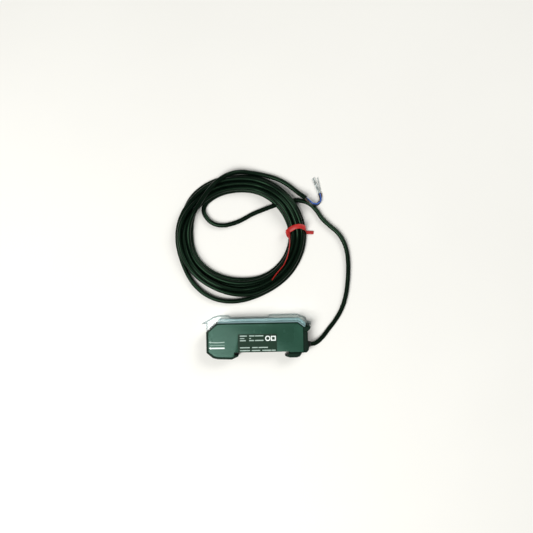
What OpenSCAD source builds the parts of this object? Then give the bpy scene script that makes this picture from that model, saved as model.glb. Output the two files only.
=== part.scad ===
// Fibre-optic photoelectric sensor amplifier for a 35 mm rail, lying on its side,
// with its moulded lead coiled and tied beside it.
// X runs along the case, from the fibre ports to the cable end. Y runs from the
// rail side to the dust cover. Z is the thickness, and Z = 0 is the back face.

/* [Case] */
// Thickness of the case
case_t = 10; // [9.8:0.1:10.2]
// Wall of the case
wall = 1.2; // [1:0.1:1.3]
// Wall of the dust cover
cover_wall = 0.8; // [0.7:0.05:0.85]
// Thickness of the label
label_t = 0.15; // [0.1:0.05:0.2]

/* [Fibre side] */
// Outside diameter of the fibre that each port takes
fibre_d = 2.2; // [2.1:0.05:2.25]
// Distance between the two fibres
fibre_pitch = 4.2; // [4.1:0.05:4.4]
// Angle that the lock lever swings through
lever_swing = 35; // [30:1:36]

/* [Controls] */
// Height of the button tops above the rail side datum
button_top = 12; // [11.6:0.1:12.1]
// How far a button travels
button_travel = 0.3; // [0.2:0.05:0.35]

/* [Cable] */
// Outside diameter of the cable
cable_d = 3.2; // [3:0.1:3.2]
// Outside diameter of one insulated core
core_d = 1.1; // [0.9:0.05:1.15]
// Inner radius of the coil
coil_in = 31; // [30:0.5:32]
// Outer radius of the coil
coil_out = 47; // [46:0.5:47.5]
// Height of the coil where it lies flat
coil_h = 6.4; // [6.2:0.1:6.8]

/* [Hidden] */
$fn = 48;
EPS = 0.02;

// Main levels through the thickness
floor_t = 1;
rim_top = case_t - 0.5;
side_low = case_t - 1.35;
mid_z = case_t / 2;

// Case outline, from the top of the left face down, round the rail slot and back over the top
CASE_OUTLINE = [
    [-35.1, 4], [-35.1, -10.6], [-30.7, -14.3], [-27.2, -15.2], [-17.5, -15.5], [-13, -13.5],
    [-13, -12.6], [-15.2, -12.6], [-15.2, -10.6], [22.3, -10.6], [22.3, -11.5], [33, -11.5],
    [33, 3.3], [35.6, 3.3], [37.2, 4.9], [37.8, 6.4], [33, 6.4], [28.7, 9.7], [-27.4, 9.7], [-34, 4]
];
// Hollow of the case; the walls at the ends of the lead-in edges follow the outline
CAVITY = [
    [-35.1 + wall, 3.4], [-35.1 + wall, -10.1], [-30.2, -14.3 + wall], [-27, -15.2 + wall],
    [-17.5, -15.5 + wall], [-16.4, -13.8], [-16.4, -10.6 + wall], [23.5, -10.6 + wall],
    [23.5, -11.5 + wall], [33 - wall, -11.5 + wall], [33 - wall, 5.6], [28.2, 9.7 - wall],
    [-26.9, 9.7 - wall], [-33.4, 3.4]
];
// Side cover, set in from the left edge and the left foot
SIDE_OUTLINE = [
    [-33.7, 3.5], [-33.7, -9.9], [-30, -12.9], [-27, -13.8], [-17.6, -14.1], [-15.8, -13.3],
    [-15.8, -10.5], [22.9, -10.5], [22.9, -11], [32.5, -11], [32.5, 5.9], [28.5, 9.1],
    [-27.2, 9.1], [-33.6, 3.6]
];
// Dust cover, seen from the side
COVER_OUTLINE = [
    [-35.1, 4.7], [-34.4, 4.7], [-27.2, 10.8], [29.1, 10.8], [33.4, 7.6], [36, 7.6], [37.9, 7.9],
    [37.6, 10.1], [35.2, 10.5], [34.2, 13], [29.9, 14.8], [28.9, 15.5], [9.3, 15.3], [7.4, 13.7],
    [-17.9, 13.7], [-19.8, 15.2], [-26.7, 15.2], [-30.2, 14.1], [-34.8, 11.6], [-35.1, 11.3],
    [-37.9, 9.9], [-37.8, 9.3], [-35.1, 9.6]
];
// Hollow of the dust cover, open towards the case
COVER_HOLLOW = [
    [-35.1 + cover_wall, 3], [37.1, 3], [37, 9.5], [34.6, 9.8], [33.6, 12.3], [29.6, 14],
    [28.7, 15.5 - cover_wall], [9.6, 15.3 - cover_wall], [7.7, 13.7 - cover_wall],
    [-18.2, 13.7 - cover_wall], [-20.1, 15.2 - cover_wall], [-26.6, 15.2 - cover_wall],
    [-29.9, 13.2], [-35.1 + cover_wall, 10.7]
];
// Movable rail claw
CLAW_OUTLINE = [
    [22.3, -11.8], [22.3, -12.9], [19.4, -12.9], [19.6, -13.6], [20.6, -14.2], [23, -14.9],
    [27.8, -14.9], [29.9, -14.2], [31.4, -11.8]
];
CLAW_TRAVEL = 2.5;

// Dust cover hinge
HINGE = [35.8, 8.2];
hinge_pin_r = 0.6;
pin_gap = 0.05;

// Fibre ports and their holder
emitter_y = -7.5;
receiver_y = emitter_y + fibre_pitch;
bore_r = fibre_d / 2 + 0.05;
HOLDER_X = [-35.1, -19.5];
HOLDER_Y = [-9.8, -1];
HOLDER_Z = [1.7, 8.3];
CLAMP_X = [-25, -23];
lens_x = -21.9;
lens_r = 1.5;

// Lock lever and the crank that moves the fibre clamp
LEVER = [-25.6, 8.2];
lever_pin_r = 0.75;
crank_r = 1.6;
crank_pin_r = 0.6;
clamp_travel = crank_r * sin(lever_swing);
clamp_hole_r = bore_r + clamp_travel / 2;
LEVER_Z = [4.2, 7.4];
HEAD_Z = [2.6, 4];

// Control panel: centre of each control along X
set_x = 10.8;
up_x = 15.2;
down_x = 18.8;
mode_x = 22.8;
selector_x = 26;
SELECTOR_TRAVEL = 1.2;
lamp_x = 7.6;
FLANGE_Y = [8.9, 9.6];
panel_low = 9.8;
panel_high = 10.6;
PANEL_SIDE_T = 0.7;
board_y = 6;
board_t = 0.8;
switch_top = FLANGE_Y[0] - 0.6 - button_travel;

// Cable exit
exit_y = -6;
bush_r = 2.3;
bush_end = 37.6;

// Centre of the coil
COIL = [-9.8, 70.2];
lie_z = cable_d / 2;

// Route of the lead from the bush to the coil, along its centre
LEAD = [
    [37.6, -6, 5], [41, -5.5, 4.6], [46, -1.8, 3], [50.5, 3.6, 1.8], [55.2, 9.5, 1.6],
    [59.8, 17, 1.6], [63, 26, 1.6], [64.6, 35, 1.6], [65.3, 43, 1.6], [65.4, 51, 1.6],
    [64.5, 59, 1.6], [62.2, 66, 1.6], [58.2, 72, 1.6], [52.4, 77.2, 1.6], [47.4, 82.3, 1.6],
    [43.4, 88.2, 1.6], [38.6, 92.8, 1.6], [31.6, 95, 1.6], [23.6, 94.6, 1.6], [15.6, 92.3, 1.6],
    [7, 89.3, 1.6], [-1.5, 86, 1.6], [-9.6, 81.8, 1.6], [-16.6, 79.3, 1.6], [-23.6, 78.4, 1.6],
    [-29.6, 80, 1.6], [-34, 84, 1.6], [-36, 89, 1.6], [-34.8, 93.2, 1.6], [-31.8, 96.2, 1.6]
];
// Free end of the cable, from the coil to the cut jacket
TAIL = [[6, 114.4, 1.6], [15, 111.4, 1.6], [23.4, 106.1, 1.7], [30.8, 100.5, 2.6], [36.2, 96.4, 4.2]];
// Middle one of the three bare cores, over the lead and down to the floor
CORE = [
    [36.2, 96.4, 4.2], [38.7, 93.5, 4.7], [41.1, 91.7, 4.7], [44.1, 91.9, 3.4], [46.7, 94.2, 1.3],
    [47, 97.5, 0.7], [46.3, 99.6, 0.7]
];
core_pitch = 1.3;
tip_l = 12;
tip_r = 0.35;

// Twist tie
TIE_ANGLE = 8;
tie_w = 3;
tie_t = 0.6;
TIE_END_ANGLE = 5;
TIE_TAIL = [
    [23.4, 74.6, 6.8], [24.2, 69.2, 6.8], [24.5, 65, 6.8], [23.3, 59.6, 6.8], [21.5, 53.1, 6.8],
    [18.7, 48.2, 6.8], [15.5, 44.7, 6.8], [11.4, 39.3, 6.8]
];

// A box between two corners
module block(low, high) {
    translate(low) cube(high - low);
}

// A plate of the given outline between two heights
module plate(points, z0, z1) {
    translate([0, 0, z0]) linear_extrude(z1 - z0) polygon(points);
}

// A round bar along X, Y or Z
module bar_x(x0, x1, y, z, r) {
    translate([x0, y, z]) rotate([0, 90, 0]) cylinder(h = x1 - x0, r = r);
}

module bar_y(y0, y1, x, z, r) {
    translate([x, y1, z]) rotate([90, 0, 0]) cylinder(h = y1 - y0, r = r);
}

module bar_z(at, z0, z1, r) {
    translate([at[0], at[1], z0]) cylinder(h = z1 - z0, r = r);
}

// One section of a sweep: side and upward half-widths w and h, with n corners
function unit(v) = v / norm(v);
function heading(path, i) = unit(path[min(i + 1, len(path) - 1)] - path[max(i - 1, 0)]);
function left_of(path, i) = unit(cross([0, 0, 1], heading(path, i)));
function above(path, i) = cross(heading(path, i), left_of(path, i));
function section(path, i, w, h, n) = [
    for (k = [0:n - 1]) let (a = 360 * (k + 0.5) / n)
        path[i] + w * cos(a) * left_of(path, i) + h * sin(a) * above(path, i)
];

// A closed tube or strip that follows a path
module sweep(path, w, h, n) {
    last = len(path) - 1;
    polyhedron(
        points = [for (i = [0:last]) each section(path, i, w, h, n)],
        faces = concat(
            [[for (k = [0:n - 1]) k]],
            [for (i = [0:last - 1], k = [0:n - 1]) let (m = (k + 1) % n)
                [i * n + k, i * n + n + k, i * n + n + m, i * n + m]],
            [[for (k = [n - 1:-1:0]) last * n + k]]
        )
    );
}

// The core's path shifted sideways, fanning out of the cable's end
function fan(i) = min(1, 0.45 + 0.15 * i);
function beside(path, side) = [
    for (i = [0:len(path) - 1]) path[i] + side * fan(i) * left_of(path, i)
];

// Case shell with the floor, the rail slot, the hinge lug and every opening
module main_case() {
    color([0.14, 0.27, 0.22]) difference() {
        union() {
            plate(CASE_OUTLINE, 0, rim_top);
            bar_z(HINGE, 1.3, case_t - 1.3, 1.1);
            block([HINGE[0] - 1.1, 6.2, 1.3], [HINGE[0] + 1.1, HINGE[1], case_t - 1.3]);
        }
        plate(CAVITY, floor_t, case_t);
        plate(SIDE_OUTLINE, side_low, case_t);
        // Window for the fibre holder
        block([-36, HOLDER_Y[0] - 0.1, HOLDER_Z[0] - 0.1], [-33, HOLDER_Y[1] + 0.1, HOLDER_Z[1] + 0.1]);
        // Slot for the lock lever and the clamp's head
        block([-36, 4.6, 2.3], [-21.6, 11, 7.8]);
        // Opening under the control panel
        block([-16.4, 8, 1.6], [28.3, 10.4, 8.4]);
        // Guide slot of the rail claw
        block([23.7, -12, 4.1], [30.2, -10, 5.9]);
        // Cable entry
        bar_x(31, 34, exit_y, mid_z, lie_z + 0.2);
        bar_z(HINGE, 0, case_t, hinge_pin_r);
        bar_z(LEVER, 0.4, 2, lever_pin_r);
    }
}

// Snap-on side wall with the label's recess
module side_cover() {
    color([0.2, 0.35, 0.29]) difference() {
        plate([for (p = SIDE_OUTLINE) p * 0.998], side_low + EPS, case_t);
        block([-13.2, -10.4, case_t - label_t], [14.1, 2.1, case_t + 1]);
        bar_z(LEVER, side_low - 1, side_low + 0.4, lever_pin_r);
    }
}

// Dark closing piece at the cable end
module end_cap() {
    color([0.08, 0.1, 0.1]) difference() {
        plate([[33.05, -11.5], [34.6, -11.5], [36, -10], [36.4, -7.7], [35.6, -1.5], [35.6, 3.2],
            [33.05, 3.2]], 0.3, case_t - 0.3);
        bar_x(33, 40, exit_y, mid_z, bush_r + pin_gap);
    }
}

// One raised side of the control panel, just inside the dust cover's side
module panel_side(z0) {
    plate([[-26.4, panel_low], [28.75, panel_low], [33.05, 6.6], [33.9, 6.6], [34, 9.3],
        [29.8, 12.6], [-25.6, 12.6], [-26.4, 11.8]], z0, z0 + PANEL_SIDE_T);
}

// Control panel with its raised sides and the display's frame
module top_panel() {
    color([0.45, 0.55, 0.52]) difference() {
        union() {
            plate([[-27.3, panel_low], [28.75, panel_low], [33.05, 6.5], [33.9, 6.5], [33.9, 7.35],
                [33.3, 7.35], [29, panel_high], [-26.4, panel_high]], 0.2, case_t - 0.2);
            block([-17, panel_high - 0.1, 1.5], [6.6, 12.6, case_t - 1.5]);
            for (z = [1.25, case_t - 1.25 - PANEL_SIDE_T]) panel_side(z);
        }
        block([-16, 9, 2.2], [5.6, 13, case_t - 2.2]);
        block([-28, 9, 2.3], [-21.6, 11, 7.8]);
        bar_y(9, 11, set_x, mid_z, 2.1);
        bar_y(9, 11, mode_x, mid_z, 1.6);
        bar_y(9, 11, lamp_x, mid_z, 0.65);
        for (x = [up_x, down_x]) block([x - 1.6, 9, 2.7], [x + 1.6, 11, 7.3]);
        block([selector_x - 0.8, 9, 3.9], [selector_x + SELECTOR_TRAVEL + 0.8, 11, 6.1]);
    }
}

// Tinted window in the display frame
module display_window() {
    color([0.1, 0.12, 0.12]) block([-15.95, 11.7, 2.25], [5.55, 12.5, case_t - 2.25]);
}

// Rating label, flush in its recess
module rating_label() {
    color([0.11, 0.2, 0.15]) block([-13.1, -10.4, case_t - label_t], [14, 2, case_t]);
}

// Translucent dust cover: a channel over the panel, with hinge ears and a thumb lip
module dust_cover() {
    color([0.6, 0.7, 0.7, 0.6]) difference() {
        union() {
            plate(COVER_OUTLINE, 0.2, case_t - 0.2);
            bar_z(HINGE, 0.2, case_t - 0.2, 1.5);
        }
        plate(COVER_HOLLOW, 0.2 + cover_wall, case_t - 0.2 - cover_wall);
        bar_z(HINGE, 0, case_t, hinge_pin_r + pin_gap);
    }
}

// Steel pin of the dust cover's hinge
module hinge_pin() {
    color("silver") bar_z(HINGE, 0.3, case_t - 0.3, hinge_pin_r);
}

// Fibre lock lever: hub, thumb tab lying along the sloping edge, and crank pin
module lock_lever() {
    color([0.25, 0.28, 0.28]) difference() {
        union() {
            bar_z(LEVER, LEVER_Z[0], LEVER_Z[1], 2);
            translate([LEVER[0], LEVER[1], 3]) rotate([0, 0, 220.7])
                linear_extrude(4.4) polygon([[0.6, -3.4], [0.6, -1.6], [6, -1.6], [7, -2.2], [7, -3.4]]);
            block([LEVER[0] - 1, LEVER[1] + 0.6, LEVER_Z[0]], [LEVER[0] - 0.2, LEVER[1] + 2.4, LEVER_Z[1]]);
            bar_z([LEVER[0] + crank_r, LEVER[1]], HEAD_Z[0] + 0.1, LEVER_Z[0] + 1, crank_pin_r);
        }
        bar_z(LEVER, 0, case_t, lever_pin_r + pin_gap);
        block([LEVER[0] - 1.7, LEVER[1] - 3, 2], [LEVER[0] + 1, LEVER[1] + 1.6, LEVER_Z[0]]);
    }
}

// Steel pin that the lever turns on
module lever_pin() {
    color("silver") bar_z(LEVER, 0.4, side_low + 0.4, lever_pin_r);
}

// Clamp plate with a hole round each fibre and a forked head on the crank pin
module fibre_clamp() {
    color([0.7, 0.7, 0.72]) difference() {
        union() {
            block([CLAMP_X[0], -9.4, 2.6], [CLAMP_X[1], 5.2, 7.4]);
            block([LEVER[0] + 1.1, 5, HEAD_Z[0]], [-22, 9.5, HEAD_Z[1]]);
        }
        for (y = [emitter_y, receiver_y])
            bar_x(-26, -22, y + clamp_travel / 2, mid_z, clamp_hole_r);
        block([-26, LEVER[1] - crank_pin_r - 0.1, 2], [-23.2, LEVER[1] + crank_pin_r + 0.1, 5]);
    }
}

// Holder with the two fibre bores and the seats of the emitter and receiver
module fibre_holder() {
    color([0.1, 0.1, 0.11]) difference() {
        block([HOLDER_X[0], HOLDER_Y[0], HOLDER_Z[0]], [HOLDER_X[1], HOLDER_Y[1], HOLDER_Z[1]]);
        for (y = [emitter_y, receiver_y]) {
            bar_x(-36, -19, y, mid_z, bore_r);
            bar_x(lens_x - 0.2, -19, y, mid_z, lens_r + 0.1);
        }
        block([CLAMP_X[0] - 0.3, -11, 2.4], [CLAMP_X[1] + 0.3, 0, 7.6]);
    }
}

// Lensed optical device facing a fibre: body, rear flange
module optical_device(y) {
    bar_x(lens_x + 0.5, -18, y, mid_z, lens_r);
    translate([lens_x + 0.5, y, mid_z]) rotate([0, 90, 0])
        rotate_extrude() intersection() {
            scale([1, 0.4]) circle(r = lens_r);
            translate([0, -lens_r]) square([lens_r, lens_r]);
        }
    bar_x(-19.3, -18.6, y, mid_z, 1.8);
}

module emitter_led() {
    color([0.8, 0.3, 0.25, 0.7]) optical_device(emitter_y);
}

module photodiode() {
    color([0.12, 0.12, 0.14]) optical_device(receiver_y);
}

// Small upright board behind the two optical devices
module optical_board() {
    color([0.05, 0.3, 0.15]) block([-17.9, -9.6, 2.5], [-17.1, -1, 8.3]);
}

module main_board() {
    color([0.05, 0.3, 0.15]) plate([[-16.9, -9.2], [22.9, -9.2], [22.9, -9.9], [31.4, -9.9],
        [31.4, 5.4], [-16.1, 5.4], [-16.9, 4.6]], 1.2, 2.2);
}

module display_board() {
    color([0.05, 0.3, 0.15]) block([-16.2, board_y, 2.4], [28, board_y + board_t, 8.4]);
}

module controller_chip() {
    color([0.06, 0.06, 0.07]) block([-4, -5, 2.2], [3, 2, 3.4]);
}

module output_transistor() {
    color([0.06, 0.06, 0.07]) block([14, -6, 2.2], [17, -3, 3.6]);
}

module supply_capacitor() {
    color("silver") bar_z([21.5, -2], 2.2, 7.6, 2);
}

// Solder block that takes the three cores
module cable_header() {
    color([0.85, 0.83, 0.75]) block([26.5, -8.4, 2.2], [30.5, -3.6, 5.6]);
}

// Two digit modules standing on the display board
module displays() {
    color([0.08, 0.09, 0.09]) for (x = [-15.6, -4.9])
        block([x, board_y + board_t, 2.7], [x + 10.1, 11.4, 7.3]);
}

// One tactile switch under each button
module tact_switches() {
    color([0.75, 0.75, 0.76]) for (x = [set_x, up_x, down_x, mode_x])
        block([x - 1.4, board_y + board_t, 3.6], [x + 1.4, switch_top, 6.4]);
}

module selector_switch() {
    color([0.75, 0.75, 0.76]) block([24.8, board_y + board_t, 3.2], [27.9, 8.6, 6.8]);
}

// Light pipe of the output lamp
module status_lamp() {
    color([0.95, 0.6, 0.2, 0.7]) bar_y(board_y + board_t, 11.2, lamp_x, mid_z, 0.6);
}

// Round push button with a retaining flange and a stem to its switch
module round_button(x, r) {
    bar_y(FLANGE_Y[0], button_top, x, mid_z, r);
    bar_y(FLANGE_Y[0], FLANGE_Y[1], x, mid_z, r + 0.35);
    bar_y(switch_top + button_travel + 0.1, FLANGE_Y[1], x, mid_z, 0.7);
}

// Rectangular push button of the same build
module bar_button(x) {
    block([x - 1.5, FLANGE_Y[0], 2.8], [x + 1.5, button_top, 7.2]);
    block([x - 1.7, FLANGE_Y[0], 2.5], [x + 1.7, FLANGE_Y[1], 7.5]);
    bar_y(switch_top + button_travel + 0.1, FLANGE_Y[1], x, mid_z, 0.7);
}

module set_button() {
    color([0.85, 0.85, 0.82]) round_button(set_x, 2);
}

module up_button() {
    color([0.85, 0.85, 0.82]) bar_button(up_x);
}

module down_button() {
    color([0.85, 0.85, 0.82]) bar_button(down_x);
}

module mode_button() {
    color([0.85, 0.85, 0.82]) round_button(mode_x, 1.5);
}

// Knob of the slide switch, at the left end of its travel
module output_selector() {
    color([0.9, 0.9, 0.88]) {
        block([selector_x - 0.7, FLANGE_Y[0], 4], [selector_x + 0.7, button_top - 0.4, 6]);
        block([selector_x - 0.95, FLANGE_Y[0], 3.5], [selector_x + 0.95, FLANGE_Y[1], 6.5]);
    }
}

// Sprung claw that closes the rail slot, with its guide tongue
module rail_claw() {
    color([0.13, 0.24, 0.2]) {
        plate(CLAW_OUTLINE, 1, case_t - 1);
        block([24, -12, 4.2], [27.4, -9.4, 5.8]);
        block([24, -10.2, 3.2], [27.4, -9.4, 6.8]);
    }
}

// Rubber bush round the cable
module cable_bush() {
    color([0.05, 0.05, 0.06]) {
        bar_x(33.2, bush_end, exit_y, mid_z, bush_r);
    }
}

module cable_lead() {
    color([0.05, 0.06, 0.06]) sweep(LEAD, lie_z, lie_z, 8);
}

// Outer shape of the coiled turns
module cable_coil() {
    color([0.05, 0.06, 0.06]) translate([COIL[0], COIL[1], 0]) rotate_extrude($fn = 96)
        polygon([[coil_in + 1, 0], [coil_out - 1, 0], [coil_out, 1.5], [coil_out, coil_h - 2.5],
            [coil_out - 2.5, coil_h], [coil_in + 2.5, coil_h], [coil_in, coil_h - 2.5], [coil_in, 1.5]]);
}

module cable_tail() {
    color([0.05, 0.06, 0.06]) sweep(TAIL, lie_z, lie_z, 8);
}

module core_brown() {
    color([0.35, 0.18, 0.1]) sweep(beside(CORE, -core_pitch), core_d / 2, core_d / 2, 8);
}

module core_blue() {
    color([0.1, 0.3, 0.7]) sweep(CORE, core_d / 2, core_d / 2, 8);
}

module core_black() {
    color([0.05, 0.05, 0.05]) sweep(beside(CORE, core_pitch), core_d / 2, core_d / 2, 8);
}

// Tinned strands at the ends of the cores
module core_tips() {
    last = len(CORE) - 1;
    along = heading(CORE, last);
    color([0.75, 0.76, 0.78]) for (side = [-core_pitch, 0, core_pitch])
        translate(beside(CORE, side)[last]) rotate([0, 90, atan2(along[1], along[0])])
            cylinder(h = tip_l, r = tip_r);
}

// Red plastic tie: a band round the turns, its short end and its long tail
module twist_tie() {
    color([0.8, 0.12, 0.1]) {
        translate([COIL[0], COIL[1], 0]) rotate([0, 0, TIE_ANGLE]) difference() {
            block([coil_in - tie_t, -tie_w / 2, 0], [coil_out + tie_t, tie_w / 2, coil_h + tie_t]);
            block([coil_in, -tie_w, tie_t], [coil_out, tie_w, coil_h]);
        }
        translate([COIL[0], COIL[1], 0]) rotate([0, 0, TIE_END_ANGLE])
            block([coil_out - 2, -1.1, 0], [coil_out + 4, 1.1, tie_t]);
        sweep(TIE_TAIL, 1.5, 0.42, 4);
    }
}

main_case();
side_cover();
end_cap();
top_panel();
display_window();
rating_label();
dust_cover();
hinge_pin();
lock_lever();
lever_pin();
fibre_clamp();
fibre_holder();
emitter_led();
photodiode();
optical_board();
main_board();
display_board();
controller_chip();
output_transistor();
supply_capacitor();
cable_header();
displays();
tact_switches();
selector_switch();
status_lamp();
set_button();
up_button();
down_button();
mode_button();
output_selector();
rail_claw();
cable_bush();
cable_lead();
cable_coil();
cable_tail();
core_brown();
core_blue();
core_black();
core_tips();
twist_tie();
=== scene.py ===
import math

import bmesh
import bpy
import numpy as np
from mathutils import Matrix, Vector


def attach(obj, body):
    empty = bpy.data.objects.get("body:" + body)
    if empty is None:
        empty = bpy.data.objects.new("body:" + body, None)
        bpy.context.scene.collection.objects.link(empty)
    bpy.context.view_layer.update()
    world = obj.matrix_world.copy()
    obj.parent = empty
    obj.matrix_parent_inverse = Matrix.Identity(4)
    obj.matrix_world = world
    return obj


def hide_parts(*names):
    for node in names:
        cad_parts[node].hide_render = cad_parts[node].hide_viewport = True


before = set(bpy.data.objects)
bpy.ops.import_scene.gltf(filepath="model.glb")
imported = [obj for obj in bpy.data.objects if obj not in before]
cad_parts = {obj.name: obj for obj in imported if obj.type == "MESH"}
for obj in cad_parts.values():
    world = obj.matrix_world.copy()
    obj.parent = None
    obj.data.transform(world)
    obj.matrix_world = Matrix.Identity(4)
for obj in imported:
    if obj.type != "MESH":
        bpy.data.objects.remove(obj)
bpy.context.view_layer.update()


# Camera: straight above the sensor and its coiled lead, turned by one degree, with the
# lens at the distance and length that put the whole lead in the middle of the frame.
camera_data = bpy.data.cameras.new("camera")
camera_data.sensor_width = 36
camera_data.lens = 45.71
camera = bpy.data.objects.new("camera", camera_data)
camera.location = (0.0077, 0.0488, 0.480)
camera.rotation_euler = (0, 0, math.radians(-1))
bpy.context.scene.collection.objects.link(camera)
bpy.context.scene.camera = camera
bpy.context.scene.view_settings.view_transform = "Standard"     # plain contrast and full colours


# Cable: 2 m of round three-core lead, 3.2 mm across, in an extruded black PVC jacket.
# It leaves the bush, runs under the coil, and is wound clockwise into seven turns,
# four on the table and three in the valleys between them. Sizes are in millimetres.
MM = 0.001
CABLE_R = 1.6
COIL = np.array([-9.8, 70.2])
LEAD = [
    (37.6, -6, 5), (41, -5.5, 4.6), (46, -1.8, 3), (50.5, 3.6, 1.8), (55.2, 9.5, 1.6),
    (59.8, 17, 1.6), (63, 26, 1.6), (64.6, 35, 1.6), (65.3, 43, 1.6), (65.4, 51, 1.6),
    (64.5, 59, 1.6), (62.2, 66, 1.6), (58.2, 72, 1.6), (52.4, 77.2, 1.6), (47.4, 82.3, 1.6),
    (43.4, 88.2, 1.6), (38.6, 92.8, 1.6), (31.6, 95, 1.6), (23.6, 94.6, 1.6), (15.6, 92.3, 1.6),
    (7, 89.3, 1.6), (-1.5, 86, 1.6), (-9.6, 81.8, 1.6), (-16.6, 79.3, 1.6), (-23.6, 78.4, 1.6),
    (-29.6, 80, 1.6), (-34, 84, 1.6), (-36, 89, 1.6), (-34.8, 93.2, 1.6), (-31.8, 96.2, 1.6),
]
TAIL = [
    (7.6, 113.2, 1.7), (15.4, 110.8, 1.6), (23, 106.8, 1.7), (30.8, 100.5, 2.6), (36.2, 96.4, 4.2),
]
COIL_START = 130                # degrees, where the lead joins the first turn
TURNS = 7 + 59.7 / 360
LAID = 180                      # points laid in a turn; every fifth one shapes the curve
KEPT = 5
JOIN = 3                        # last points left out, where the free end's own take over
REST_GAP = 3.1                  # centre distance of strands that rest on each other
HUMP = 18                       # a strand rises and falls over this length
SLOTS = [-1.5, -0.5, 0.5, 1.5, 1, 0, -1]    # place of each turn across the bundle, in pitches
SLIP = (0.86, 0.12)             # part of a turn where a strand slips to the next place
LEAVE = (6.944, 7.117)          # part of the winding where the free end moves outside
UNEVEN = 0.25                   # how far the upper turns wander, three times in each turn
FREE_R = 45.5                   # the free end's distance from the coil's centre
MEAN_R = 38.2                   # mean distance of the turns from the coil's centre
BUNDLE = [                      # angle, middle of the bundle, and pitch of its turns
    (0, 39.9, 3.14), (35, 38.7, 3.14), (64, 38.1, 3.14), (95, 37.4, 3.2), (130, 39.2, 3.42),
    (155, 40.0, 3.25), (180, 40.1, 3.16), (205, 39.9, 3.45), (221, 39.2, 4.0), (240, 37.9, 4.35),
    (258, 37.2, 4.5), (275, 37.0, 4.4), (300, 37.2, 3.4), (330, 38.6, 3.14),
]
LOOSE = (243, 46, 3.5)          # angle, reach and height of the loop that stands off
LEANING = (240, 55, 1.6)        # the same for the turn above it, which leans inwards there


def ease(t):
    """0 to 1 with a soft start and stop."""
    t = min(1, max(0, t))
    return t * t * (3 - 2 * t)


def round_the_coil(column):
    """One column of the bundle's table as a smooth value for each degree."""
    degrees, values = [row[0] for row in BUNDLE], [row[column] for row in BUNDLE]
    straight = np.interp(np.arange(360), degrees, values, period=360)
    smear = 8                   # degrees to each side that a value is averaged over
    return np.mean([np.roll(straight, k) for k in range(-smear, smear + 1)], axis=0)


MIDDLE, PITCH = round_the_coil(1), round_the_coil(2)


def swell(degrees, angle, reach, height):
    """A soft rise round an angle, and nothing past its reach."""
    off = (degrees - angle) / reach
    return height * math.cos(math.pi / 2 * off) ** 2 if abs(off) < 1 else 0


def coil_radius(n):
    """Distance of the strand from the coil's centre after n turns."""
    degrees = (COIL_START - 360 * n) % 360
    turn = min(int(n), len(SLOTS) - 1)
    following = SLOTS[min(turn + 1, len(SLOTS) - 1)]
    place = SLOTS[turn] + (following - SLOTS[turn]) * ease((n - turn - SLIP[0]) / SLIP[1])
    radius = (np.interp(degrees, np.arange(360), MIDDLE, period=360)
              + np.interp(degrees, np.arange(360), PITCH, period=360) * place)
    if turn == 3:               # the outermost turn on the table
        radius += swell(degrees, *LOOSE)
    if turn == 4:
        radius -= swell(degrees, *LEANING)
    if n > 4:                   # the upper turns lie less evenly
        radius += UNEVEN * math.sin(math.radians(3 * degrees)) * ease(n - 4)
    out = ease((n - LEAVE[0]) / (LEAVE[1] - LEAVE[0]))
    return radius + (FREE_R - radius) * out


def along(points, step):
    """Evenly spaced points on the straight pieces of a route."""
    points = np.array(points, float)
    run = np.concatenate([[0], np.cumsum(np.linalg.norm(np.diff(points, axis=0), axis=1))])
    at = np.linspace(0, run[-1], max(2, round(run[-1] / step) + 1))
    return np.stack([np.interp(at, run, points[:, k]) for k in range(3)], axis=1)


def resting(points, below, reach):
    """Heights of points whose centre stays `reach` away from the strands below them."""
    gap = np.linalg.norm(points[:, None, :2] - below[None, :, :2], axis=2)
    lift = np.sqrt(np.clip(reach ** 2 - gap ** 2, 0, None))
    return np.where(gap < reach, below[None, :, 2] + lift, 0).max(axis=1)


def humped(heights, low, half):
    """The heights with a long low hump on each side of what is passed over."""
    share = np.cos(np.pi / 2 * np.arange(-half, half + 1) / (half + 1)) ** 2
    padded = np.pad(np.maximum(heights, low) - low, half)
    return low + np.max([s * padded[k:k + len(heights)] for k, s in enumerate(share)], axis=0)


def wind_coil():
    """Points of the coiled turns, each laid on what is already on the table."""
    turns = np.arange(1, int(TURNS * LAID) + 1) / LAID
    angle = np.radians(COIL_START - 360 * turns)
    radius = np.array([coil_radius(n) for n in turns])
    step = 2 * math.pi * MEAN_R / LAID
    lead = along(LEAD, step)
    flat = np.stack([COIL[0] + radius * np.cos(angle), COIL[1] + radius * np.sin(angle)], axis=1)
    laid = np.concatenate([lead, np.column_stack([flat, np.full(len(flat), CABLE_R)])])
    rests = laid[:, 2].copy()
    block = LAID // 2           # laid half a turn at a time,
    apart = LAID // 3           # on strands that lie a third of a turn back or more
    for start in range(len(lead), len(laid), block):
        stop = min(start + block, len(laid))
        heights = resting(laid[start:stop], laid[:start - apart], REST_GAP)
        rests[start:stop] = np.maximum(CABLE_R, heights)
        laid[len(lead):, 2] = humped(rests[len(lead):], CABLE_R, round(HUMP / step))
    return laid[len(lead):]


def curve_through(name, points, radius, section, between):
    """A round strand through the points, as a smooth curve with closed ends."""
    data = bpy.data.curves.new(name, "CURVE")
    data.dimensions = "3D"
    data.bevel_depth = radius * MM
    data.bevel_resolution = section
    data.resolution_u = between
    data.use_fill_caps = True
    spline = data.splines.new("BEZIER")
    spline.bezier_points.add(len(points) - 1)
    for bezier, place in zip(spline.bezier_points, points):
        bezier.co = Vector(place) * MM
        bezier.handle_left_type = bezier.handle_right_type = "AUTO"
    strand = bpy.data.objects.new(name, data)
    bpy.context.scene.collection.objects.link(strand)
    return strand


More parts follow.
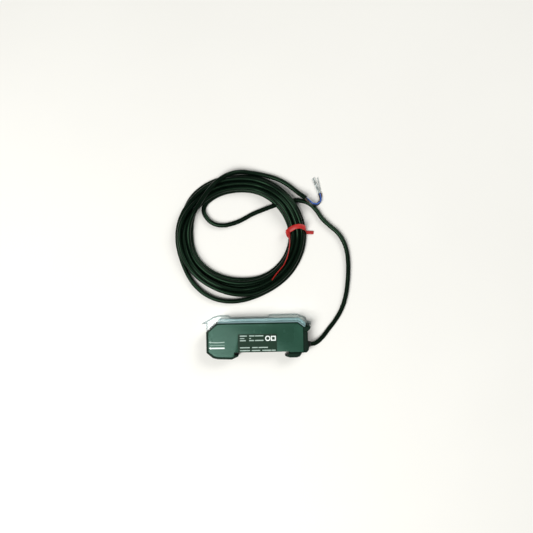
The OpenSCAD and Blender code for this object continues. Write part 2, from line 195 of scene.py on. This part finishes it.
def linear(code):
    """An sRGB hex colour as the linear colour that a shader takes."""
    parts = [int(code[k:k + 2], 16) / 255 for k in (1, 3, 5)]
    return (*[p / 12.92 if p <= 0.04045 else ((p + 0.055) / 1.055) ** 2.4 for p in parts], 1)


def add(tree, kind, inputs=None, **settings):
    """Adds a node with its settings; each input is a value or another node's output."""
    node = tree.nodes.new(kind)
    for name, value in settings.items():
        setattr(node, name, value)
    for key, value in (inputs or {}).items():
        if isinstance(value, bpy.types.NodeSocket):
            tree.links.new(value, node.inputs[key])
        else:
            node.inputs[key].default_value = value
    return node


def finish_material(name, tint, shade, cloud, roughness, grain, depth, **shader):
    """A finish whose colour drifts between two tints over `cloud` mm, with a surface
    grain of `grain` mm that is `depth` mm deep and a roughness that wanders in a range."""
    made = bpy.data.materials.new(name)
    made.use_nodes = True
    tree = made.node_tree
    surface = tree.nodes["Principled BSDF"]
    low, high = 0.3, 0.7        # the noise mostly lies between these
    place = add(tree, "ShaderNodeTexCoord").outputs["Object"]
    drift = add(tree, "ShaderNodeTexNoise", {
        "Vector": place, "Scale": 1 / MM / cloud, "Detail": 4.0})
    colours = add(tree, "ShaderNodeValToRGB", {"Fac": drift.outputs["Fac"]})
    colours.color_ramp.elements[0].position = low
    colours.color_ramp.elements[0].color = linear(shade)
    colours.color_ramp.elements[1].position = high
    colours.color_ramp.elements[1].color = linear(tint)
    tree.links.new(colours.outputs["Color"], surface.inputs["Base Color"])
    wander = add(tree, "ShaderNodeMapRange", {
        "Value": drift.outputs["Fac"], "From Min": low, "From Max": high,
        "To Min": roughness[0], "To Max": roughness[1]})
    tree.links.new(wander.outputs["Result"], surface.inputs["Roughness"])
    grit = add(tree, "ShaderNodeTexNoise", {
        "Vector": place, "Scale": 1 / MM / grain, "Detail": 2.0})
    relief = add(tree, "ShaderNodeBump", {
        "Height": grit.outputs["Fac"], "Strength": 1.0, "Distance": depth * MM})
    tree.links.new(relief.outputs["Normal"], surface.inputs["Normal"])
    for socket, value in shader.items():
        surface.inputs[socket.replace("_", " ")].default_value = value
    return made


# Extruded PVC: near black with a green cast, and a soft shine that drifts along it.
jacket_pvc = finish_material(
    "extruded_black_PVC", "#060f09", "#040a06", 9, (0.26, 0.36), 1.2, 0.004, IOR=1.53,
    Specular_IOR_Level=0.22, Specular_Tint=linear("#9cdcaa"))
turns_laid = wind_coil()
cable = curve_through(
    "cable", LEAD + [tuple(p) for p in turns_laid[KEPT - 1:-JOIN:KEPT]] + TAIL, CABLE_R,
    section=6, between=5)
cable.data.materials.append(jacket_pvc)
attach(cable, "amplifier")
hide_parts("cable_lead", "cable_coil", "cable_tail")


# Cores: three PVC insulated wires, 1.1 mm across, stripped out of the cut jacket and
# laid over the lead. Their last millimetres are bare tinned strands, twisted together.
CORE_R = 0.55
CORE_TIP_R = 0.35
TWIST_R = 0.64                  # distance of each core from the middle of the three
CORE_ROUTE = [
    (27.9, 102.6, 2.2), (30.8, 100.5, 2.6), (33.5, 98.4, 3.4), (36.2, 96.4, 4.2), (38.7, 93.6, 4.9),
    (41.1, 91.9, 4.9), (44.1, 92, 3.5), (46.6, 94.2, 1.9), (47, 97.5, 1.2), (46.3, 99.9, 1.15),
]
CORE_STEP = 1.9                 # distance of the points along them
CORE_LOWEST = CORE_R + 0.02     # just off the table
CORE_TWIST = 330                # degrees that the three turn round each other
CORE_OPENS = 0.72               # share of the route after which they part
CORE_SPREAD = 0.85              # how far apart their ends lie
CORE_COLOURS = {
    "blue": ("#2a62b8", "#1c4a98"),
    "brown": ("#4e3020", "#38210f"),
    "black": ("#1a1c1b", "#0b0d0c"),
}


def core_points(phase, side):
    """Route of one core, turned about the middle of the three and opened at its end."""
    route = along(CORE_ROUTE, CORE_STEP)
    ways = np.gradient(route, axis=0)
    points = []
    for k, (centre, way) in enumerate(zip(route, ways)):
        share = k / (len(route) - 1)
        across = Vector((-way[1], way[0], 0)).normalized()
        turn = math.radians(phase + CORE_TWIST * share)
        opened = ease((share - CORE_OPENS) / (1 - CORE_OPENS))
        offset = across * (TWIST_R * math.cos(turn) * (1 - opened) + CORE_SPREAD * side * opened)
        sink = 0.5 * opened     # the opened ends come down to the table
        height = centre[2] + TWIST_R * math.sin(turn) * (1 - opened) - sink
        point = Vector(centre) + offset
        points.append((point.x, point.y, max(height, CORE_LOWEST)))
    return points


core_ends = []
# Extruded soft PVC: smooth, with a broad gloss along each core.
for colour, phase, side in (("blue", 199, 0), ("brown", 79, -1), ("black", 319, 1)):
    points = core_points(phase, side)
    core = curve_through(f"core_{colour}_wire", points, CORE_R, section=3, between=4)
    core.data.materials.append(finish_material(
        f"extruded_{colour}_PVC", *CORE_COLOURS[colour], 5, (0.3, 0.4), 0.8, 0.01, IOR=1.53))
    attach(core, "amplifier")
    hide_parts(f"core_{colour}")
    way = Vector(points[-1]) - Vector(points[-2])
    core_ends.append((Vector(points[-1]), Vector((way.x, way.y, 0)).normalized()))


def shown(name, mesh, body, material, slot_name, *nodes):
    """Puts a finished mesh in the scene as a piece of that body, and hides what it replaces."""
    piece = bpy.data.objects.new(name, mesh)
    bpy.context.scene.collection.objects.link(piece)
    mesh.materials.append(material)
    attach(piece, body)
    even = piece.modifiers.new("flat faces shade flat", "WEIGHTED_NORMAL")
    even.weight = 100           # the largest face decides how a corner is shaded
    even.keep_sharp = True
    if nodes:
        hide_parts(*nodes)
    return piece


def mesh_of(name, bm, crease=30):
    """A mesh from a finished bmesh in millimetres, smooth but for edges over `crease` degrees."""
    bmesh.ops.scale(bm, vec=(MM, MM, MM), verts=bm.verts)
    mesh = bpy.data.meshes.new(name)
    bm.to_mesh(mesh)
    bm.free()
    mesh.shade_smooth()
    mesh.set_sharp_from_angle(angle=math.radians(crease))
    return mesh


def corners_of(made):
    """The vertices among what an operator made."""
    return [v for v in made if isinstance(v, bmesh.types.BMVert)]


def draw_out(bm, ring, steps):
    """Extrudes a ring of edges through a list of transforms and returns its last edges."""
    for matrix in steps:
        out = bmesh.ops.extrude_edge_only(bm, edges=ring)["geom"]
        bmesh.ops.transform(bm, matrix=matrix, verts=corners_of(out))
        ring = [e for e in out if isinstance(e, bmesh.types.BMEdge)]
    return ring


# Core tips: the bare strands of each core, tinned copper, twisted together and dipped in
# solder. The tin gives them a bright grey with a dull bloom. They lie level and sag a little.
tinned_copper = finish_material(
    "tinned_copper", "#c2c8c6", "#a0a7a5", 2, (0.42, 0.52), 0.3, 0.002, Metallic=1.0)
TIP_LENGTHS = (12.0, 11.2, 11.6)
TIP_CORNERS = 14                # seven strands, each with a furrow beside it
TIP_FURROW = 0.9                # a furrow's distance from the middle, for a strand's of 1
TIP_INSIDE = 0.4                # how deep a tip starts inside its insulation
TIP_STEPS = 16
TIP_TWIST = 9                   # degrees at each step
TIP_SAG = 0.2
tips = bmesh.new()
for (end, way), length in zip(core_ends, TIP_LENGTHS):
    made = bmesh.ops.create_circle(tips, segments=TIP_CORNERS, radius=CORE_TIP_R)["verts"]
    for k, vert in enumerate(made):
        vert.co *= 1 if k % 2 else TIP_FURROW
    rise = way.to_track_quat("Z", "Y").to_matrix().to_4x4()
    start = Matrix.Translation(end - way * TIP_INSIDE) @ rise
    bmesh.ops.transform(tips, matrix=start, verts=made)
    ring = [e for e in tips.edges if all(v in made for v in e.verts)]
    bmesh.ops.contextual_create(tips, geom=ring)
    onward = Matrix.Translation((0, 0, (length + TIP_INSIDE) / TIP_STEPS))
    twist = Matrix.Rotation(math.radians(TIP_TWIST), 4, "Z")
    fall = Matrix.Translation((0, 0, -TIP_SAG / TIP_STEPS))
    step = start @ onward @ twist @ start.inverted()
    ring = draw_out(tips, ring, [fall @ step] * TIP_STEPS)
    bmesh.ops.contextual_create(tips, geom=ring)
bmesh.ops.recalc_face_normals(tips, faces=tips.faces)
core_tips = shown("core_strands", mesh_of("core_strands", tips), "amplifier", tinned_copper,
                  "tinned_copper", "core_tips")


# Twist tie: a red plastic ribbon with a steel wire in its middle, put round the turns and
# folded over itself at their inner side, with a short end outside and a long tail that is
# left on the turns. Each route below is one stretch of it.
TIE_T = 0.35
TIE_OVER = [                    # over the turns, from their inner to their outer side
    (22.4, 72.6, 4.2), (24.2, 74.2, 5.6), (26.2, 75.4, 6.0), (28.8, 76.3, 6.2), (31.2, 76.6, 6.2),
    (33.4, 76.2, 5.6), (34.9, 75.2, 4.8),
]
TIE_ROUND = [                   # down outside, back under the turns and up inside them
    (33.6, 76.0, 6.5), (34.7, 75.4, 5.9), (35.6, 74.6, 4.4), (36.0, 74.0, 2.6), (35.8, 73.2, 1.2),
    (35.0, 72.8, 0.4), (33.0, 72.4, 0.22), (28.5, 72.2, 0.22), (24.2, 72.2, 0.24),
    (22.9, 72.2, 0.6), (22.2, 72.3, 1.6), (22.0, 72.4, 3.0), (22.4, 72.6, 4.4), (23.0, 73.2, 5.2),
]
TIE_SHORT_END = [(35.4, 72.7, 0.9), (37.4, 72.5, 0.9), (39.6, 72.3, 0.7), (41.4, 72.2, 0.5)]
TIE_TAIL = [                    # on edge, along the tops of the turns
    (23.6, 72.4, 5.4), (24.0, 70.2, 6.6), (24.2, 67.6, 7.1), (24.1, 63.4, 7.0), (23.3, 58.6, 6.9),
    (22.0, 54.2, 6.9), (19.6, 49.4, 6.9), (15.6, 44.9, 6.9), (12.9, 41.6, 6.8), (11.4, 39.3, 6.7),
]
TIE_FOLD_IN = [(26.8, 75.3, 6.7), (24.7, 74.3, 6.7), (22.7, 72.9, 6.3)]
TIE_FOLD_OUT = [(22.8, 73.3, 6.0), (23.2, 71.2, 6.4), (24.1, 67.9, 6.9)]


def on_turns(route, lift):
    """A route of evenly spaced points, raised to clear the turns by `lift` and evened out,
    so that it lies taut from one turn to the next."""
    points = along(route, 0.8)
    clear = np.maximum(points[:, 2], resting(points, turns_laid, CABLE_R + lift))
    half = 4                    # points to each side that a height is evened out with
    span = 2 * half + 1
    padded = np.pad(clear, half, mode="edge")
    tops = np.pad([padded[k:k + span].max() for k in range(len(clear))], half, mode="edge")
    points[:, 2] = [tops[k:k + span].mean() for k in range(len(clear))]
    return points


# The ribbon's section, whose middle is thickest over the wire: place across it in half
# widths and height in half thicknesses, first the upper side and then the lower.
TIE_SECTION = [(-1, 0), (-0.8, 1), (-0.25, 0.8), (0, 1.5), (0.25, 0.8), (0.8, 1), (1, 0)]
TIE_SECTION += [(a, -b) for a, b in TIE_SECTION[-2:0:-1]]
TIE_LOWEST = 0.04               # nothing of it goes under this height


def ribbon(bm, points, width, leans, edgeways=None):
    """A flat ribbon along a route; leans are its turns in degrees out of lying flat. Its
    width lies level across the route, or along `edgeways` where that is given."""
    ways = np.gradient(points, axis=0)
    ring = None
    for k, (point, way) in enumerate(zip(points, ways)):
        share = k / (len(points) - 1) * (len(leans) - 1)
        low = min(int(share), len(leans) - 2)
        lean = math.radians(leans[low] + (leans[low + 1] - leans[low]) * ease(share - low))
        way = Vector(way).normalized()
        side = Vector(edgeways) if edgeways else way.cross(Vector((0, 0, 1)))
        side = (side - way * side.dot(way)).normalized()
        side = Matrix.Rotation(lean, 3, way) @ side
        up = side.cross(way).normalized()
        corners = [Vector(point) + side * a * width / 2 + up * b * TIE_T / 2
                   for a, b in TIE_SECTION]
        if ring is None:
            verts = [bm.verts.new(c) for c in corners]
            ring = bm.faces.new(verts)
            continue
        grown = bmesh.ops.extrude_face_region(bm, geom=[ring])["geom"]
        face = [f for f in grown if isinstance(f, bmesh.types.BMFace)][0]
        if k > 1:
            bm.faces.remove(ring)
        for vert, corner in zip(face.verts, corners):
            vert.co = (corner.x, corner.y, max(corner.z, TIE_LOWEST))
        ring = face


# Glossy plastic coating: bright red, with slightly darker patches that drift at random.
tie_plastic = finish_material(
    "coated_tie_ribbon", "#b81c12", "#96100c", 4, (0.36, 0.46), 0.8, 0.004, IOR=1.5)
tie = bmesh.new()
ACROSS = (0, 1, 0)              # the band's width lies along the turns that it holds
STRETCHES = [                   # points, width there, leans, and where the width lies
    (on_turns(TIE_OVER, 0.4), 3.2, [0, 0], ACROSS),
    (along(TIE_ROUND, 0.5), 2.8, [0, 0], ACROSS),
    (along(TIE_SHORT_END, 0.8), 2.3, [0, 0], None),
    (on_turns(TIE_TAIL, 0.9), 1.9, [74, 78, 80, 76, 80, 74, 78], None),
    (along(TIE_FOLD_IN, 0.4), 3.3, [0, 12, 24], None),
    (along(TIE_FOLD_OUT, 0.4), 2.9, [0, 24, 78], None),
]
for points, width, leans, edgeways in STRETCHES:
    ribbon(tie, points, width, leans, edgeways)
bmesh.ops.recalc_face_normals(tie, faces=tie.faces)
twist_tie = shown("tie_ribbon", mesh_of("tie_ribbon", tie, crease=40), "amplifier", tie_plastic,
                  "tie_plastic", "twist_tie")


# Case: the deep half of the housing, moulded in near black glass-filled ABS, with the rail
# slot, the fibre window and the lever slot. Its rim shows round the side cover.
WELD = 0.001                    # points nearer than this are one
FLAT = 0.5                      # degrees, under which two faces are one flat face
CORNER = 28                     # degrees, over which a mould leaves an edge rounded
FLOOR_Z, RIM_Z = 0.1, 9.4       # the case is rounded under the one and over the other,
CAP_SEAM_X = 32.5               # as far as the seam with the end cap


def moulded_copy(name, node, round_r, segments=2, rounded=lambda place: True,
                 shortest=2, split=True):
    """A CAD node's shape with its sharp edges rounded as a mould leaves them, where `rounded`
    says so of the edge's middle, in millimetres. Edges under `shortest` radii stay sharp.
    With `split`, its concave faces are parted first."""
    bm = bmesh.new()
    bm.from_mesh(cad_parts[node].data)
    bmesh.ops.scale(bm, vec=(1 / MM, 1 / MM, 1 / MM), verts=bm.verts)
    bmesh.ops.remove_doubles(bm, verts=bm.verts, dist=WELD)
    bmesh.ops.dissolve_limit(bm, angle_limit=math.radians(FLAT), verts=bm.verts, edges=bm.edges)
    if split:
        bmesh.ops.connect_verts_concave(bm, faces=bm.faces)
    sharp = [e for e in bm.edges if len(e.link_faces) == 2
             and e.calc_face_angle(0) > math.radians(CORNER)
             and e.calc_length() > shortest * round_r
             and rounded((e.verts[0].co + e.verts[1].co) / 2)]
    bmesh.ops.bevel(bm, geom=sharp, offset=round_r, offset_type="OFFSET", segments=segments,
                    profile=0.5, affect="EDGES", clamp_overlap=False, material=-1)
    return mesh_of(name, bm)


def floor_or_rim(place):
    """True for the edges round the case's floor and its rim."""
    return (place.z < FLOOR_Z or place.z > RIM_Z) and place.x < CAP_SEAM_X


# Moulded plastic: a spark-eroded grain, drawn at 0.35 mm so that it shows, breaks up a
# satin shine, and the near black has a green cast.
case_plastic = finish_material(
    "moulded_dark_ABS", "#0f2118", "#0a1610", 14, (0.36, 0.44), 0.35, 0.005, IOR=1.53,
    Specular_IOR_Level=0.14, Specular_Tint=linear("#b4dcc6"))
shown("case", moulded_copy("case", "main_case", 0.15, rounded=floor_or_rim, shortest=8),
      "amplifier", case_plastic, "case_plastic", "main_case")


# Side cover: the snap-on side wall in moulded green ABS, with a recess for the label and
# its printed fibre arrows. Its outer edge is rounded.
SIDE_FACE_Z = 9.9
LABEL_X, LABEL_Y = (-14, 15), (-11, 3)      # the edges in here are the label's recess,
FOOT_Y = -10.5                  # and this is the wall's lower edge, which runs close to it

# Moulded plastic: smoother than the case, so its green takes a brighter, even shine.
side_plastic = finish_material(
    "moulded_green_ABS", "#1b4131", "#153627", 18, (0.24, 0.3), 0.35, 0.003, IOR=1.53,
    Specular_Tint=linear("#b9e6d6"))


def clear_of_label(place):
    """True for the side wall's outer edges, which leave room for a rounding."""
    recess = LABEL_X[0] < place.x < LABEL_X[1] and LABEL_Y[0] < place.y < LABEL_Y[1]
    foot = abs(place.y - FOOT_Y) <= 0.2
    return place.z > SIDE_FACE_Z and not recess and not foot


shown("side_wall", moulded_copy("side_wall", "side_cover", 0.25, rounded=clear_of_label),
      "amplifier", side_plastic, "side_plastic", "side_cover")


# Label: a polyester film printed dark green on its face, with glue on its back, laid flush
# in the recess of the side wall. Its face is dull beside the plastic round it.
label_film = finish_material(
    "printed_polyester_film", "#183424", "#11281b", 22, (0.42, 0.5), 0.6, 0.003, IOR=1.58,
    Specular_IOR_Level=0.1)
shown("label", moulded_copy("label", "rating_label", 0.04, segments=1), "amplifier",
      label_film, "label_film", "rating_label")


# Printing: off-white ink put on the label and the side wall through a screen, a few
# hundredths of a millimetre thick. Bars stand for the words, and two arrows for the way
# the light goes in the fibres.
INK_Z = 10.0
INK_T = 0.03
DASH_ROWS = [                   # height, thickness and the words of each printed row
    (0.75, 0.75, [(-11.7, -6.8), (-5.2, -1.6), (-1.1, 4.6)]),
    (-0.95, 0.55, [(-11.7, -8.6), (-5.2, -4.0)]),
    (-2.45, 0.75, [(-11.7, -7.6), (-5.2, -1.9), (-1.2, 4.7)]),
    (-7.35, 0.7, [(-11.7, -4.9), (-3.2, 0.6), (1.2, 7.7)]),
    (-9.4, 0.7, [(-11.7, -4.7), (-3.6, 2.3), (3.8, 9.9), (10.2, 13.1)]),
]
ARROW_END, ARROW_NECK = -22.4, -32.0
HEAD_TIP, HEAD_BACK = -33.4, -31.9
HEAD_BARB = 0.45                # how far the head stands out past the shaft
HEAD_TILT = 0.2                 # how far its tip lies off the shaft's middle
RULE = (-32.4, -22.4, -5.55, -5.3)      # the thin line under the arrows


def inked(bm, outline):
    """One printed patch from its outline, standing on the side."""
    face = bm.faces.new([bm.verts.new((x, y, INK_Z)) for x, y in outline])
    grown = bmesh.ops.extrude_face_region(bm, geom=[face])["geom"]
    bmesh.ops.translate(bm, vec=(0, 0, INK_T), verts=corners_of(grown))


def bar(x0, x1, y0, y1, bow=0.0):
    """Outline of a printed bar, bowed at its middle by `bow`."""
    across = np.linspace(x0, x1, 9 if bow else 2)
    sag = [bow * (1 - (2 * (x - x0) / (x1 - x0) - 1) ** 2) for x in across]
    return ([(x, y0 - s) for x, s in zip(across, sag)]
            + [(x, y1 - s) for x, s in reversed(list(zip(across, sag)))])


# Screen ink: flat and hardly shiny. The arrows are bold and white, the words greyer.
white_ink = finish_material(
    "white_screen_ink", "#eef4f0", "#d8e2dc", 3, (0.4, 0.5), 0.3, 0.003, IOR=1.5)
pale_ink = finish_material(
    "pale_screen_ink", "#a9bdb2", "#8ea69a", 2, (0.4, 0.5), 0.3, 0.003, IOR=1.5)
arrows, words = bmesh.new(), bmesh.new()
for ink, y, thick, bow in ((arrows, -7.45, 1.0, 0), (words, -3.3, 0.55, 0.28)):
    inked(ink, bar(ARROW_NECK, ARROW_END, y - thick / 2, y + thick / 2, bow))
    inked(ink, [(HEAD_TIP, y + HEAD_TILT), (HEAD_BACK, y - thick / 2 - HEAD_BARB),
                (HEAD_BACK, y + thick / 2 + HEAD_BARB)])
bmesh.ops.recalc_face_normals(arrows, faces=arrows.faces)
shown("fibre_arrows", mesh_of("fibre_arrows", arrows), "amplifier", white_ink, "label_film")

for y, thick, spans in DASH_ROWS:
    for x0, x1 in spans:
        inked(words, bar(x0, x1, y - thick / 2, y + thick / 2))
inked(words, bar(*RULE))
bmesh.ops.recalc_face_normals(words, faces=words.faces)
shown("label_rows", mesh_of("label_rows", words), "amplifier", pale_ink, "label_film")


# Symbols: a ring and a square frame, printed bold in the white ink beside the rows. They
# stand for no real mark.
SYMBOL_Y = -1.1
SYMBOL_R = 1.85
STROKE = 0.72
SYMBOLS = [                     # place, corners, turn, and reach and stroke against the ring's
    (7.7, 40, 0, 1, 1),
    (11.6, 4, 45, 1.3, 1.41),   # measured to its corners
]
symbols = bmesh.new()
for x, corners, turned, reach, stroke in SYMBOLS:
    outer = SYMBOL_R * reach
    rims = []
    for r in (outer, outer - STROKE * stroke):
        rim = bmesh.ops.create_circle(symbols, segments=corners, radius=r,
                                      matrix=Matrix.Rotation(math.radians(turned), 4, "Z"))["verts"]
        bmesh.ops.translate(symbols, vec=(x, SYMBOL_Y, INK_Z), verts=rim)
        rims += [e for e in symbols.edges if all(v in rim for v in e.verts)]
    ring = bmesh.ops.bridge_loops(symbols, edges=rims)["faces"]
    grown = bmesh.ops.extrude_face_region(symbols, geom=ring)["geom"]
    bmesh.ops.translate(symbols, vec=(0, 0, INK_T), verts=corners_of(grown))
bmesh.ops.recalc_face_normals(symbols, faces=symbols.faces)
shown("label_symbols", mesh_of("label_symbols", symbols), "amplifier", white_ink, "label_film")


# End cap: the dark closing piece at the cable end, moulded in black ABS and fitted to the
# case's end, with the bush in its hole. Its grain gives the same satin as the case's.
cap_plastic = finish_material(
    "moulded_black_ABS", "#0f1d16", "#0a140f", 10, (0.34, 0.42), 0.35, 0.005, IOR=1.53,
    Specular_IOR_Level=0.16, Specular_Tint=linear("#b4dcc6"))
shown("cable_end_cap", moulded_copy("cable_end_cap", "end_cap", 0.35, segments=3),
      "amplifier", cap_plastic, "cap_plastic", "end_cap")


# Bush: a ribbed strain relief that the cable passes through, moulded in black rubber and
# held by the end cap. It is turned here from its profile, from the cap to the cable.
BUSH_X = (33.2, 34.9, 35.2, 35.6, 35.9, 36.3, 36.6, 37.0, 37.3, 37.6)
BUSH_R = (2.28, 2.28, 2.0, 2.2, 1.95, 2.15, 1.9, 2.1, 1.85, 1.9)
BUSH_BORE = 1.58
BUSH_Y, BUSH_Z = -6, 5          # where the cable leaves the case
bush = bmesh.new()
profile = list(zip(BUSH_X, BUSH_R)) + [(BUSH_X[-1], BUSH_BORE), (BUSH_X[0], BUSH_BORE)]
chain = [bush.verts.new((x, BUSH_Y, BUSH_Z + r)) for x, r in profile]
links = [bush.edges.new((a, b)) for a, b in zip(chain, chain[1:] + chain[:1])]
bmesh.ops.spin(bush, geom=chain + links, cent=(0, BUSH_Y, BUSH_Z), axis=(1, 0, 0),
               angle=2 * math.pi, steps=40, use_merge=True)
bmesh.ops.remove_doubles(bush, verts=bush.verts, dist=WELD)
bmesh.ops.recalc_face_normals(bush, faces=bush.faces)

# Rubber: matt, with a faint grey bloom on the black.
bush_rubber = finish_material(
    "moulded_rubber", "#151a18", "#0b0e0d", 5, (0.5, 0.62), 0.4, 0.012, IOR=1.5)
shown("strain_relief", mesh_of("strain_relief", bush, crease=50), "amplifier", bush_rubber,
      "bush_rubber", "cable_bush")


# Rail claw: the sprung jaw that closes the rail slot, moulded in the case's plastic. Its
# tongue slides in a guide slot of the case.
shown("sliding_claw", moulded_copy("sliding_claw", "rail_claw", 0.3, segments=3), "rail_claw",
      case_plastic, "case_plastic", "rail_claw")


# Control panel: a blue-grey ABS moulding in the top of the case, with raised sides, a
# display frame and openings for the buttons. Its grain leaves it nearly matt.
panel_plastic = finish_material(
    "moulded_blue_grey_ABS", "#718f90", "#607e7f", 12, (0.4, 0.5), 0.35, 0.006, IOR=1.53)
shown("panel", moulded_copy("panel", "top_panel", 0.12), "amplifier", panel_plastic,
      "panel_plastic", "top_panel")


# Display window: a plate of dark tinted acrylic, moulded with a polished face and set in
# the panel's frame. It looks black, with sharp reflections.
window_plastic = finish_material(
    "tinted_acrylic", "#12100f", "#0a0909", 8, (0.06, 0.1), 2.0, 0.002, IOR=1.49)
shown("display_glass", moulded_copy("display_glass", "display_window", 0.1), "amplifier",
      window_plastic, "window_plastic", "display_window")


# Output lamp: a clear amber acrylic light pipe with a domed end, pressed into the panel.
# Light that goes through it makes it glow at its edges.
lamp_plastic = finish_material(
    "amber_acrylic", "#f0a030", "#e08c20", 2, (0.08, 0.14), 1.0, 0.002, IOR=1.49,
    Transmission_Weight=0.6)
shown("output_lamp", moulded_copy("output_lamp", "status_lamp", 0.12), "amplifier",
      lamp_plastic, "lamp_plastic", "status_lamp")


# Dust cover: a smoked polycarbonate channel over the controls, moulded in one piece with
# its hinge ears and thumb lip, and polished inside and out. The controls show through its
# walls, and it is darkest where it is seen along them.
SMOKE = 190                     # absorption per metre: a wall of 1 mm takes a seventh
cover_plastic = finish_material(
    "smoked_polycarbonate", "#f4f8f6", "#eaf2ee", 16, (0.05, 0.09), 6.0, 0.001, IOR=1.58,
    Transmission_Weight=1.0, Alpha=0.45)
cover_nodes = cover_plastic.node_tree
smoke = add(cover_nodes, "ShaderNodeVolumeAbsorption", {
    "Color": linear("#6f9096"), "Density": SMOKE})
cover_nodes.links.new(
    smoke.outputs["Volume"], cover_nodes.nodes["Material Output"].inputs["Volume"])
clear_cover = shown("clear_cover", moulded_copy("clear_cover", "dust_cover", 0.15), "dust_cover",
                    cover_plastic, "cover_plastic", "dust_cover")
clear_cover.visible_shadow = False      # light falls through it onto the controls


# Buttons and selector: off-white polycarbonate caps, moulded with rounded tops, one on
# each switch. Their fine grain gives a soft highlight along every rounded edge.
button_plastic = finish_material(
    "moulded_off_white_PC", "#dfded6", "#d2d1c8", 5, (0.36, 0.44), 0.3, 0.008, IOR=1.58)
for node in ("set_button", "up_button", "down_button", "mode_button", "output_selector"):
    shown(node + "_cap", moulded_copy(node + "_cap", node, 0.18, segments=3), node,
          button_plastic, "button_plastic", node)


# Lock lever: the dark thumb lever that clamps the fibres, moulded in acetal and turning on
# its steel pin. Acetal looks waxy, with broad soft highlights.
THUMB_END_X = -28.5             # it is rounded where the thumb meets it


def by_the_thumb(place):
    """True for the edges at the lever's free end."""
    return place.x < THUMB_END_X


lever_plastic = finish_material(
    "moulded_acetal", "#3a4444", "#2d3636", 8, (0.34, 0.42), 0.3, 0.01, IOR=1.48)
shown("fibre_lever",
      moulded_copy("fibre_lever", "lock_lever", 0.1, rounded=by_the_thumb, split=False),
      "lock_lever", lever_plastic, "lever_plastic", "lock_lever")


# Pieces that keep their CAD shape: pins, clamp, holder, boards and the parts soldered to
# them, which are bought or stamped and sit inside. Each kind gets its own finish.
def dress(material, *nodes):
    """Gives CAD nodes a finish."""
    for node in nodes:
        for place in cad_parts[node].material_slots:
            place.material = material


# Ground steel: bright grey, with fine scratches that smear its highlights. The
# capacitor's can looks much the same.
steel = finish_material(
    "ground_steel", "#b9bcbd", "#9a9d9e", 3, (0.22, 0.38), 0.25, 0.006, Metallic=1.0)
dress(steel, "lever_pin", "fibre_clamp", "supply_capacitor")

# Blackened steel: the same metal under a dark oxide, so only its highlights tell it.
dark_steel = finish_material(
    "blackened_steel", "#34393a", "#24282a", 3, (0.42, 0.5), 0.25, 0.003, Metallic=1.0)
dress(dark_steel, "hinge_pin")

# Moulded PBT: a neutral, nearly matt black.
dark_plastic = finish_material(
    "moulded_black_PBT", "#1b1d1e", "#101213", 6, (0.4, 0.5), 0.3, 0.01, IOR=1.53)
dress(dark_plastic, "fibre_holder", "displays")

# Cast epoxy, tinted red: glassy, and light goes through it.
lens_plastic = finish_material(
    "red_epoxy", "#d84a3a", "#b83a2c", 2, (0.08, 0.15), 1.0, 0.002, IOR=1.52,
    Transmission_Weight=0.5)
dress(lens_plastic, "emitter_led")

# Filled epoxy of the chips: dull black with a fine grit.
chip_plastic = finish_material(
    "moulded_epoxy", "#1c1d1f", "#121314", 2, (0.55, 0.68), 0.2, 0.01, IOR=1.55)
dress(chip_plastic, "photodiode", "controller_chip", "output_transistor")

# Moulded nylon: creamy, with a satin surface.
header_plastic = finish_material(
    "moulded_nylon", "#d9d4c2", "#cbc5b2", 3, (0.42, 0.5), 0.3, 0.01, IOR=1.53)
dress(header_plastic, "cable_header")

# Stamped tinplate: brighter than the steel, with patches of dull tin.
switch_metal = finish_material(
    "stamped_tinplate", "#c3c6c7", "#a5a8a9", 1.5, (0.25, 0.4), 0.2, 0.005, Metallic=1.0)
dress(switch_metal, "tact_switches", "selector_switch")

# Glass laminate under a green solder mask: glossy, mottled by the weave and copper below.
board_laminate = finish_material(
    "solder_masked_laminate", "#1d6a3c", "#124a28", 1.6, (0.28, 0.42), 0.5, 0.03, IOR=1.52)
dress(board_laminate, "optical_board", "main_board", "display_board")


# Table: a large board under the part and its lead, painted pale and matt, so that it takes
# soft shadows and shows no reflections.
TABLE_REACH = 1500              # from its middle to each edge
TABLE_DROP = 0.05               # keeps its face clear of what lies on it
table = bmesh.new()
bmesh.ops.create_grid(table, x_segments=2, y_segments=2, size=TABLE_REACH)
bmesh.ops.translate(table, vec=(0, 0, -TABLE_DROP), verts=table.verts)
table_paint = finish_material("matt_table_paint", "#eceae4", "#e8e6e0", 200, (0.7, 0.8), 2, 0.01)
table_mesh = mesh_of("table", table)
table_mesh.materials.append(table_paint)
table_top = bpy.data.objects.new("table", table_mesh)
bpy.context.scene.collection.objects.link(table_top)


# Lights: two large softboxes on opposite sides, a smaller one whose reflection gives the
# side wall its sheen, and a dim room. Places and sizes are in metres, and powers in watts.
SOFTBOXES = [                   # name, place, what it points at, side and power
    ("key", (-0.55, -0.5, 0.95), (-0.1, -0.06, 0), 0.6, 10),
    ("glare", (-0.25, -0.23, 0.95), (-0.25, -0.23, 0), 0.36, 4),
    ("fill", (0.8, 0.75, 0.9), (0, 0.04, 0), 0.7, 9),
]
ROOM_LIGHT = 0.18
for name, place, aim, side, power in SOFTBOXES:
    data = bpy.data.lights.new(name, "AREA")
    data.shape = "SQUARE"
    data.size = side
    data.energy = power
    box = bpy.data.objects.new(name, data)
    box.location = place
    box.rotation_euler = (Vector(aim) - Vector(place)).to_track_quat("-Z", "Y").to_euler()
    bpy.context.scene.collection.objects.link(box)
world = bpy.data.worlds.new("room")
world.use_nodes = True
room = world.node_tree.nodes["Background"].inputs
room["Color"].default_value = linear("#dfe6e6")
room["Strength"].default_value = ROOM_LIGHT
bpy.context.scene.world = world
